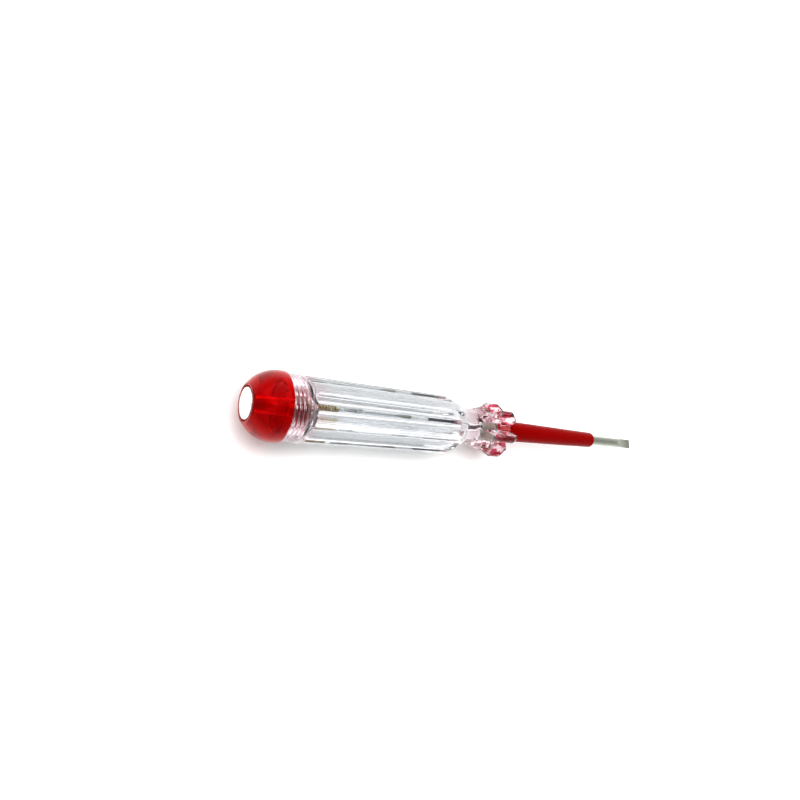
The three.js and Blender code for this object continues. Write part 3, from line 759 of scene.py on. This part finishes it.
class TESTER_OT_handle(bpy.types.Operator):
    """Builds the clear handle: ribs, flutes, shoulder, neck, crown, bore and inner thread"""

    bl_idname = "tester.handle"
    bl_label = "Handle"

    def execute(self, context):
        """One skin, ring after ring: over the outside to the front, back through the sleeve's
        socket, the shaft's hole, the bore and the threaded socket to the rear rim."""
        sizes, cap, blade, finishes = groups_of(context, "handle", "cap", "blade", "finishes")
        rear, front = span("handle")
        around = flute_turns(300, sizes)
        envelope = handle_envelope(sizes, rear, front)
        collar_end, shoulder = rear + sizes.collar_length, sizes.shoulder_place
        crown = front - 0.0095
        least_radius = blade.sleeve_rear_radius + 0.00012
        # Rings stand closer together where the outside changes faster: (start, end, step).
        stations = np.unique(np.concatenate([envelope[:, 0], *(
            np.arange(start, end, step) for start, end, step in (
                (collar_end - 0.0002, collar_end + 0.0026, 0.00012),
                (collar_end + 0.003, shoulder, 0.0025),
                (shoulder, shoulder + CROWN_SIDE, 0.00028),
                (shoulder + CROWN_SIDE, crown, 0.0008),
                (crown, front, 0.0002)))]).round(7))[:, None]
        skin = handle_skin(sizes, stations, around[None, :], envelope, rear, front)
        outside = on_axis(stations, np.maximum(skin, least_radius), around[None, :])

        sleeve_rear = span("insulating_sleeve")[0] - blade.sleeve_seat - PLAY
        shaft_rear = span("blade_shaft")[0] - blade.shaft_seat - PLAY
        socket = cap.spigot_radius + cap.thread_gap
        sleeve_hole = blade.sleeve_rear_radius + 0.00006
        shaft_hole = blade.shaft_radius - 0.00001
        floor = span("end_cap")[1] + 0.0005
        inside = turned(rounded([
            (front, sleeve_hole + 0.00004), (front - 0.00004, sleeve_hole),
            (sleeve_rear, sleeve_hole, FINE), (sleeve_rear, shaft_hole, FINE),
            (shaft_rear, shaft_hole, FINE), (shaft_rear, sizes.pin_hole_radius, FINE),
            (sizes.bore_end, sizes.pin_hole_radius, FINE),
            (sizes.bore_end, sizes.bore_radius, 0.0003),
            (floor + socket - sizes.bore_radius, sizes.bore_radius, 0.0006),
            (floor, socket, 0.0003), (floor - 0.0002, socket),
        ], steps=4), around)
        depths = np.arange(floor - 0.0003, rear + 0.0003, -0.0001)[:, None]
        fade = smoothstep((depths - rear - 0.0002) / 0.0005)
        fade = fade * smoothstep((floor - depths) / 0.0008)
        ridge = (1 - thread_shape(cap, depths, around[None, :], rear)) * fade
        thread = on_axis(depths, socket - cap.thread_depth * ridge, around[None, :])
        mouth = turned(rounded([
            (rear + 0.0002, socket), (rear, socket + 0.0002, FINE),
            (rear, sizes.collar_radius - 0.0006)], steps=3), around)
        rings = np.concatenate([outside, inside, thread, mouth])
        streaks = (sizes.rib_top_radius - 0.0004, collar_end, shoulder, 0.4)
        # The handle's tint takes painted reflection in three zones: a pink by the red cap, a pink
        # by the red sleeve over the neck and crown, and deep red flecks of the sleeve on the
        # teeth.
        painted_pink_by_cap = (rear + 0.0098, rear + 0.0065, 0.9)
        painted_pink_by_sleeve = (shoulder + 0.004, front - 0.009, 1.0)
        teeth = (front - 0.0085, front - 0.0065, 1.0)
        finish = see_through(
            "clear_moulded_plastic", finishes.clear, 0.004, 1.49, film=(0.32, 0.325, 0.33),
            streaks=streaks, painted_red_reflection=(finishes.painted_red_reflection, finishes.spots, (painted_pink_by_cap, painted_pink_by_sleeve), teeth))
        fit(solid("clear_handle", rings, looped=True), finish,
            "handle_body", "handle")
        return {"FINISHED"}


# The screw cap and the touch contact


class TESTER_OT_cap(bpy.types.Operator):
    """Builds the red screw cap: dome, threaded spigot and the hole for the contact"""

    bl_idname = "tester.cap"
    bl_label = "Screw cap"

    def execute(self, context):
        """The dome is a circle about a centre that puts its cut-off face at the cap's rear."""
        cap, finishes = groups_of(context, "cap", "finishes")
        rear, end = span("end_cap")
        rim = span("handle")[0] - PLAY
        around = turns(192)
        centre = rear + math.sqrt(cap.dome_radius**2 - cap.mouth_radius**2)
        opening = math.asin(cap.mouth_radius / cap.dome_radius)
        angle = np.linspace(opening + 0.03, math.pi / 2, 28)
        dome = np.stack([centre - cap.dome_radius * np.cos(angle),
                         cap.dome_radius * np.sin(angle)], axis=1)
        floor = end - cap.pocket_depth
        root = cap.spigot_radius - cap.thread_depth
        hole, pocket = cap.stem_radius + 0.0001, 0.0026
        recess_floor = 0.00115
        back = turned(np.concatenate([
            rounded([(recess_floor, cap.recess_radius - 0.0004),
                     (recess_floor, cap.recess_radius, FINE),
                     (rear, cap.recess_radius, 0.00015),
                     (rear, cap.mouth_radius, 0.0003), dome[0]], steps=4),
            dome[1:],
            rounded([(centre + 0.00002, cap.dome_radius), (rim, cap.dome_radius, 0.00015),
                     (rim, root, 0.0002), (rim + 0.0004, root)], steps=4)]), around)
        depths = np.arange(rim + 0.0005, end - 0.0006, 0.00009)[:, None]
        fade = smoothstep((depths - rim - 0.0004) / 0.0006)
        fade *= smoothstep((end - 0.0005 - depths) / 0.0006)
        crest = thread_shape(cap, depths, around[None, :], span("handle")[0]) * fade
        thread = on_axis(depths, root + cap.thread_depth * crest, around[None, :])
        front = turned(rounded([
            (end - 0.0005, root), (end, root - 0.0004, 0.0002), (end, pocket, 0.0002),
            (floor, pocket, 0.0004), (floor, hole, FINE), (recess_floor, hole, FINE),
            (recess_floor, cap.recess_radius - 0.0006)], steps=4), around)
        # The cap's tint falls to 45% in broad patches: painted shade for the mottled dark zones
        # inside the cap.
        finish = see_through(
            "red_clear_plastic", finishes.red_clear, 0.05, 1.3, finishes.red_clear_share,
            film=(0.35, 0.33, 0.32), mirror=finishes.red_mirror, cloud_and_shade=0.45)
        fit(solid("screw_cap", np.concatenate([back, thread, front]), looped=True), finish,
            "cap_body", "end_cap")
        return {"FINISHED"}


class TESTER_OT_contact(bpy.types.Operator):
    """Builds the touch contact, a rivet through the cap"""

    bl_idname = "tester.contact"
    bl_label = "Touch contact"

    def execute(self, context):
        """A turned profile: faintly domed face, stem, and the head that the spring rests on."""
        cap, finishes = groups_of(context, "cap", "finishes")
        rear, front = span("touch_contact")
        face, head = rear + 0.0011, front - 0.0006
        piece = lathe("touch_contact_rivet", [
            (rear, 0.0003), (rear + 0.00004, cap.contact_radius * 0.7, 0.01),
            (rear + 0.00015, cap.contact_radius, 0.00025), (face, cap.contact_radius, FINE),
            (face, cap.stem_radius, FINE), (head, cap.stem_radius, FINE),
            (head, cap.head_radius, 0.0002), (front, cap.head_radius, 0.0002),
            (front, 0.0003)], 128)
        fit(piece, metal("bright_nickel_plate", finishes.nickel, 0.22, 2500.0, 0.05),
            "contact_body", "touch_contact")
        return {"FINISHED"}


# The pieces in the bore


class TESTER_OT_spring(bpy.types.Operator):
    """Builds the pressure spring between the contact and the lamp"""

    bl_idname = "tester.spring"
    bl_label = "Spring"

    def execute(self, context):
        """A helix whose pitch is the wire's width for one turn at each end, where the coils lie
        close, and one open pitch between: the place is the running sum of the pitch."""
        inner, finishes = groups_of(context, "inner", "finishes")
        rear, front = span("contact_spring")
        wire = inner.spring_wire
        turn = np.linspace(0, inner.spring_turns, inner.spring_turns * 40 + 1)
        closed = 2.06 * wire
        opened = smoothstep((turn - 0.8) / 0.6)
        opened *= smoothstep((inner.spring_turns - 0.8 - turn) / 0.6)
        step = turn[1] - turn[0]
        between = (opened[1:] + opened[:-1]).sum() / 2 * step
        pitch = closed + opened * (front - rear - 2 * wire - closed * inner.spring_turns) / between
        place = rear + wire + np.concatenate([[0], np.cumsum((pitch[1:] + pitch[:-1]) / 2 * step)])
        angle = -FULL_TURN * turn
        path = on_axis(place, inner.spring_radius, angle)
        outward = on_axis(place, inner.spring_radius + 1, angle) - path
        piece = solid("pressure_spring", swept(path, wire, 12, outward))
        fit(piece, metal("spring_wire_brass", finishes.brass, 0.3, 5000.0, 0.1),
            None, "contact_spring")
        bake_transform(piece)
        return {"FINISHED"}


class TESTER_OT_lamp(bpy.types.Operator):
    """Builds the neon lamp: the glass bulb with its flat pinch, and two electrodes"""

    bl_idname = "tester.lamp"
    bl_label = "Neon lamp"

    def execute(self, context):
        """The bulb is a turned profile whose section turns from a circle into a flat oval over
        the pinch: its height is scaled by a share that falls from 1 to the pinch's thickness."""
        inner, finishes = groups_of(context, "inner", "finishes")
        rear, front = span("lamp_glass")
        radius = inner.bulb_radius
        inside = radius - inner.bulb_wall
        around = turns(72)

        def flattened(profile, thickness):
            """Turned rings, pressed flat towards the front end."""
            rings = turned(profile, around)
            press = smoothstep((profile[:, 0] - (front - 0.0022)) / 0.0011)[:, None]
            share_left = 1 - press * (1 - thickness / profile[:, 1:2])
            share_left = np.clip(share_left, 0, 1)
            rings[..., 2] = AXIS_HEIGHT + (rings[..., 2] - AXIS_HEIGHT) * share_left
            return rings

        outer = rounded([
            (rear, 0.00008), (rear + 0.0002, 0.00035, 0.0003), (rear + 0.0006, 0.0004, 0.0003),
            (rear + 0.0009, 0.0012, 0.0006), (rear + 0.0019, radius, 0.0012),
            (front - 0.0018, radius, 0.0012), (front - 0.0012, 0.00165, 0.0006),
            (front - 0.0001, 0.0016, 0.0002), (front, 0.0014)], steps=7)
        hollow = rounded([
            (rear + 0.0011, FINE), (rear + 0.0013, 0.0009, 0.0005),
            (rear + 0.0021, inside, 0.0009), (front - 0.0024, inside, 0.0009),
            (front - 0.0016, 0.0006, 0.0005), (front - 0.00155, FINE)])
        bulb = solid("lamp_bulb", flattened(outer, inner.pinch_thickness / 2),
                     hollow=turned(hollow, around))
        fit(bulb, see_through("lamp_glass_clear", finishes.glass, 0.0, 1.5, flow=0.01),
            "handle_body", "lamp_glass")

        plate = metal("grey_nickel_plate", finishes.dull_nickel, 0.4, 6000.0, 0.15)
        for name, side in (("return", 1), ("front", -1)):
            cad_name = "lamp_electrode_" + name
            start, end = span(cad_name)
            thick, thin = inner.electrode_radius, inner.lead_radius
            rod = turned(rounded([
                (start, PLAY), (start, thick, 0.0003), (end - 0.0007, thick, FINE),
                (end - 0.0006, thin, PLAY), (end, thin), (end, PLAY)], steps=5), turns(24))
            rod[..., 1] += side * inner.electrode_side
            fit(solid(cad_name + "_rod", rod), plate, "handle_body", cad_name)
        return {"FINISHED"}


class TESTER_OT_leads(bpy.types.Operator):
    """Builds the lamp's two leads"""

    bl_idname = "tester.leads"
    bl_label = "Lamp leads"

    def execute(self, context):
        """One lead turns back along the glass and hooks in under the spring, and the other runs
        forward to the resistor. Both lie level with the axis."""
        inner, finishes = groups_of(context, "inner", "finishes")
        _, lamp_front = span("lamp_glass")
        wire, side = inner.lead_radius, inner.electrode_side
        outside = inner.bulb_radius + 0.00015 + wire
        hook, loop = span("lamp_return_lead")
        _, wire_end = span("lamp_front_lead")
        start = span("lamp_electrode_return")[1]
        finish = metal("tinned_lead_wire", finishes.tinned, 0.3, 5000.0, 0.1)
        routes = {
            "lamp_return_lead": [
                (start, side), (loop - wire, side), (loop - wire, outside),
                (hook + wire, outside), (hook + wire, -inner.spring_radius)],
            "lamp_front_lead": [
                (start, -side), (lamp_front + 0.0006, -side), (lamp_front + 0.0024, 0),
                (wire_end, 0)]}
        for cad_name, route in routes.items():
            route = [(REAR + place, across, AXIS_HEIGHT) for place, across in route]
            path = bent(route, 0.0006 if "return" in cad_name else 0.0008, 0.00008)
            ends = np.minimum(np.arange(len(path)), np.arange(len(path))[::-1])
            radius = wire * np.sqrt(np.clip((ends + 1) / 4, 0, 1))
            piece = solid(cad_name + "_wire", swept(path, radius, 16, np.array([[0, 0, 1.0]])))
            fit(piece, finish, "handle_body", cad_name)
        return {"FINISHED"}


class TESTER_OT_resistor(bpy.types.Operator):
    """Builds the resistor: conical rear cap, ceramic core, black coating and front pin"""

    bl_idname = "tester.resistor"
    bl_label = "Resistor"

    def execute(self, context):
        """Four turned profiles, end to end."""
        inner, blade, finishes = groups_of(context, "inner", "blade", "finishes")
        plate = metal("grey_nickel_cap", finishes.dull_nickel, 0.42, 6000.0, 0.2)
        rear, front = span("resistor_rear_cap")
        start, end = span("resistor_core")
        coat_rear, coat_front = span("resistor_coating")
        cap_rear, pin_front = span("resistor_front_cap")
        pin_front -= blade.shaft_seat
        cone, rod, coat, pin = (
            inner.cone_radius, inner.core_radius, inner.coating_radius, inner.pin_radius)
        thin, hollow, cap = 0.0011, 0.00125, 0.0013
        rows = (
            ("resistor_rear_cone", plate, "grey_nickel", "resistor_rear_cap", [
                (rear, FINE), (rear, 0.00045, 0.0002), (front - 0.0008, cone, 0.0006),
                (front - PLAY, cone, 0.0002), (front, hollow, 0.00008),
                (front - 0.0006, hollow, FINE), (front - 0.0006, FINE)]),
            ("resistor_core_rod",
             opaque("white_ceramic_body", finishes.ceramic, 0.5, 0.4, 9000.0, 0.15),
             "white_ceramic", "resistor_core", [
                 (start, FINE), (start, thin, FINE), (front + PLAY, thin),
                 (front + PLAY, rod, 0.00015), (coat_rear - PLAY, rod, 0.00015),
                 (coat_rear - PLAY, thin), (end, thin, FINE), (end, FINE)]),
            ("resistor_black_coating",
             opaque("black_lacquer", finishes.coating, 0.35, 0.4, 5000.0, 0.3),
             "black_coating", "resistor_coating", [
                 (coat_rear, thin + 0.00012), (coat_rear, coat, 0.0003),
                 (coat_front - 0.0003, coat, 0.0006), (coat_front, coat - 0.0005, 0.0002),
                 (coat_front, FINE)]),
            ("resistor_front_pin", plate, "grey_nickel", "resistor_front_cap", [
                (cap_rear, FINE), (cap_rear, cap, 0.0002), (cap_rear + 0.00065, cap, 0.0002),
                (cap_rear + 0.00065, pin, 0.0002), (pin_front, pin, 0.0003),
                (pin_front, FINE)]))
        for name, finish, slot, cad_name, corners in rows:
            fit(lathe(name, corners, 64), finish, "handle_body", cad_name)
        return {"FINISHED"}


# The blade and its sleeve


class TESTER_OT_shaft(bpy.types.Operator):
    """Builds the blade shaft with its hollow-ground flat tip"""

    bl_idname = "tester.shaft"
    bl_label = "Blade shaft"

    def execute(self, context):
        """A round rod, z = r cos t and y = -r sin t, whose z is held between plus and minus a
        half thickness that falls along a quarter of a sine to that of the tip."""
        blade, finishes = groups_of(context, "blade", "finishes")
        rear, tip = span("blade_shaft")
        rear -= blade.shaft_seat
        rod, tip_half = blade.shaft_radius, blade.tip_thickness / 2
        bevel, lead_in, softness, end_radius = 0.00004, 0.0006, 0.00006, 0.0009
        around = turns(144)
        profile = rounded([
            (rear, 0.0003), (rear, rod, 0.0002), (tip - bevel, rod, bevel),
            (tip, rod - 0.00006)], steps=4)
        places = np.unique(np.concatenate([profile[:, 0], np.linspace(
            tip - blade.blade_length - lead_in, tip - FINE, 70)]))
        radius = np.interp(places, profile[1:, 0], profile[1:, 1])
        radius[0] = end_radius
        rings = on_axis(places[:, None], radius[:, None], around[None, :])
        share_left = np.clip(
            (tip - blade.tip_length - places) / (blade.blade_length - blade.tip_length), 0, 1)
        hollow = 1 - np.cos(share_left * math.pi / 2)
        half = (tip_half + (rod * 1.04 - tip_half) * hollow)[:, None] + 0 * around
        height = rings[..., 2] - AXIS_HEIGHT
        rings[..., 2] = AXIS_HEIGHT + np.where(
            rings[..., 2] < AXIS_HEIGHT, -soft_least(-height, half, softness),
            soft_least(height, half, softness))
        fit(solid("blade_shaft_rod", rings, sharp=35),
            metal("drawn_blank_steel", finishes.steel, 0.36, 2600.0, 0.25),
            "handle_body", "blade_shaft")
        return {"FINISHED"}


class TESTER_OT_sleeve(bpy.types.Operator):
    """Builds the red insulating sleeve over the shaft"""

    bl_idname = "tester.sleeve"
    bl_label = "Sleeve"

    def execute(self, context):
        """A tapered tube with a round front end."""
        blade, finishes = groups_of(context, "blade", "finishes")
        rear, front = span("insulating_sleeve")
        rear -= blade.sleeve_seat
        mouth = span("handle")[1]
        hole, wide = blade.shaft_radius + 0.00002, blade.sleeve_rear_radius
        piece = lathe("insulating_sleeve_tube", [
            (rear + 0.003, hole), (rear, hole, FINE), (rear, wide, 0.0002),
            (mouth, wide, 0.004), (front, blade.sleeve_front_radius, blade.sleeve_nose),
            (front, hole, 0.00008), (front - 0.003, hole)], 128, steps=10, looped=True)
        # Where the clear handle covers the sleeve, its colour is 3.2 times lighter: painted light,
        # in place of the light that the handle keeps off it.
        finish = opaque(
            "red_sleeve_satin", finishes.red_solid, 0.3, 0.015, 5000.0, 0.1,
            mirror=finishes.red_mirror, lit=(3.2, mouth + 0.0002, mouth - 0.0002))
        fit(piece, finish, "handle_body", "insulating_sleeve")
        return {"FINISHED"}


# The stage


def on_floor(along):
    """Points of a square grid at height 0, from its places along one side."""
    return np.stack(np.meshgrid(along, along, [0.0], indexing="ij"), axis=-1).reshape(-1, 3)


def set_up(made, place, aim, roll):
    """Puts a camera or lamp at a place, turned to its aim and rolled about that line."""
    look = (Vector(aim) - Vector(place)).to_track_quat("-Z", "Y")
    made.location = place
    made.rotation_mode = "QUATERNION"
    made.rotation_quaternion = look @ Quaternion((0, 0, 1), roll)
    bpy.context.scene.collection.objects.link(made)


def add_lamp(name, place, size, power, rgb):
    """A square soft lamp at a place, turned to the middle of the tool."""
    lamp = bpy.data.lights.new(name, "AREA")
    lamp.size, lamp.energy, lamp.color = size, power, rgb
    set_up(bpy.data.objects.new(name, lamp), place, (0, 0, 0), 0)


def glow_seen(tree, stage):
    """The floor's glow for a ray from the camera or a mirror, which fades where the tool covers
    more than a little of the sky near by, or for a ray through a clear piece. The fading paints
    shade on the floor close to the tool."""
    path = node(tree, "ShaderNodeLightPath").outputs
    near = node(tree, "ShaderNodeAmbientOcclusion", {"samples": 8}, Distance=stage.shade_reach)
    direct = calculated(tree, "MAXIMUM", path["Is Camera Ray"], path["Is Glossy Ray"])
    direct = calculated(tree, "MULTIPLY", direct, stage.floor_glow,
                        ranged(tree, near.outputs["AO"], start=0.56))
    inside = calculated(tree, "MULTIPLY", path["Is Transmission Ray"], stage.floor_glow_inside)
    return calculated(tree, "MAXIMUM", direct, inside)


class TESTER_OT_stage(bpy.types.Operator):
    """Builds the floor, the surroundings, the lamps and the camera"""

    bl_idname = "tester.stage"
    bl_label = "Stage"

    def execute(self, context):
        """A plain pale floor that takes the tool's shadow, under even, soft light."""
        scene = context.scene
        stage, finishes = groups_of(context, "stage", "finishes")
        half = stage.floor_size / 2
        side = 9
        points = on_floor(np.linspace(-half, half, side))
        index = np.arange(side * side).reshape(side, side)
        quads = np.stack([index[:-1, :-1], index[1:, :-1], index[1:, 1:], index[:-1, 1:]], -1)
        mesh = bpy.data.meshes.new("pale_floor")
        mesh.from_pydata(points.tolist(), [], quads.reshape(-1, 4).tolist())
        floor = bpy.data.objects.new("pale_floor", mesh)
        scene.collection.objects.link(floor)
        floor.data.materials.append(self.floor_finish(finishes, stage))
        self.surround(scene, stage)

        add_lamp("key_lamp", (-0.2, 0.4, 0.75), 1.2, stage.key_power, (1.0, 0.99, 0.97))
        add_lamp("fill_lamp", (-0.5, -0.5, 0.55), 0.6, stage.fill_power, (0.97, 0.98, 1.0))

        camera = bpy.data.objects.new("camera", bpy.data.cameras.new("camera"))
        camera.data.sensor_width = 36
        camera.data.lens = stage.lens
        camera.data.clip_start, camera.data.clip_end = 0.005, 20
        set_up(camera, stage.camera_place, stage.camera_aim, stage.camera_roll)
        scene.camera = camera
        scene.view_settings.view_transform = "Standard"
        return {"FINISHED"}

    def floor_finish(self, finishes, stage):
        """Pale matt paint. For the camera, and through clear pieces, it also glows, so it shows
        white;
        close to the tool the glow fades, which paints the shade there."""
        material, tree, shader, output = start_finish(
            "pale_floor_paint", Roughness=0.9, Specular_IOR_Level=0.0)
        marks = placed(tree, wear_and_shade_patches(), Patch_Scale=6.0, Grain_Scale=60.0)
        tree.links.new(mixed(tree, marks["Mask"], tinted(finishes.floor, 1.0),
                             tinted(finishes.floor, 0.995)), shader.inputs["Base Color"])
        glow = node(tree, "ShaderNodeEmission", Color=WHITE, Strength=glow_seen(tree, stage))
        both = joined(tree, "ShaderNodeAddShader", shader.outputs["BSDF"],
                      glow.outputs["Emission"])
        tree.links.new(both, output.inputs["Surface"])
        return material

    def surround(self, scene, stage):
        """White for the camera. For other rays it is bright at eye level and darker overhead,
        along a smooth step over how steeply the ray climbs."""
        world = bpy.data.worlds.new("white_surround")
        scene.world = world
        world.use_nodes = True
        tree = world.node_tree
        tree.nodes.clear()
        where = node(tree, "ShaderNodeTexCoord")
        parts = node(tree, "ShaderNodeSeparateXYZ", Vector=where.outputs["Generated"])
        climb = node(tree, "ShaderNodeMapRange", {"interpolation_type": "SMOOTHSTEP"},
                     Value=parts.outputs["Z"], From_Min=0.1, From_Max=0.85,
                     To_Min=stage.horizon_light, To_Max=stage.overhead_light)
        direct = node(tree, "ShaderNodeLightPath").outputs["Is Camera Ray"]
        strength = calculated(tree, "MAXIMUM", climb.outputs["Result"], direct)
        back = node(tree, "ShaderNodeBackground", Color=WHITE, Strength=strength)
        output = tree.nodes.new("ShaderNodeOutputWorld")
        tree.links.new(back.outputs["Background"], output.inputs["Surface"])


PIECES = ("handle", "cap", "contact", "spring", "lamp", "leads", "resistor", "shaft", "sleeve",
          "stage")


class TESTER_PT_panel(bpy.types.Panel):
    """Lists the tester's pieces and their sizes in the sidebar"""

    bl_idname = "TESTER_PT_panel"
    bl_label = "Voltage Tester Screwdriver"
    bl_space_type = "VIEW_3D"
    bl_region_type = "UI"
    bl_category = "Tester"

    def draw(self, context):
        """One button for each operator, then every property under its group's name."""
        for piece in PIECES:
            self.layout.operator("tester." + piece)
        for group in GROUPS:
            box = self.layout.box()
            box.label(text=group.replace("tester_", "").capitalize())
            holder = getattr(context.scene, group)
            for key in holder.bl_rna.properties.keys():
                if key not in ("rna_type", "name"):
                    box.prop(holder, key)


GROUPS = {
    "tester_handle": TesterHandleSizes,
    "tester_cap": TesterCapSizes,
    "tester_inner": TesterInnerSizes,
    "tester_blade": TesterBladeSizes,
    "tester_finishes": TesterFinishes,
    "tester_stage": TesterStageSettings,
}
CLASSES = (
    *GROUPS.values(), TESTER_OT_handle, TESTER_OT_cap, TESTER_OT_contact, TESTER_OT_spring,
    TESTER_OT_lamp, TESTER_OT_leads, TESTER_OT_resistor, TESTER_OT_shaft, TESTER_OT_sleeve,
    TESTER_OT_stage, TESTER_PT_panel,
)


def register():
    """Makes the classes known and hangs the property groups on the scene."""
    for made in CLASSES:
        bpy.utils.register_class(made)
    for name, group in GROUPS.items():
        setattr(bpy.types.Scene, name, PointerProperty(type=group))


def unregister():
    """Undoes register."""
    for name in GROUPS:
        delattr(bpy.types.Scene, name)
    for made in reversed(CLASSES):
        bpy.utils.unregister_class(made)


def main():
    """Builds every piece and the stage."""
    register()
    for piece in PIECES:
        getattr(bpy.ops.tester, piece)()


if __name__ == "__main__":
    main()
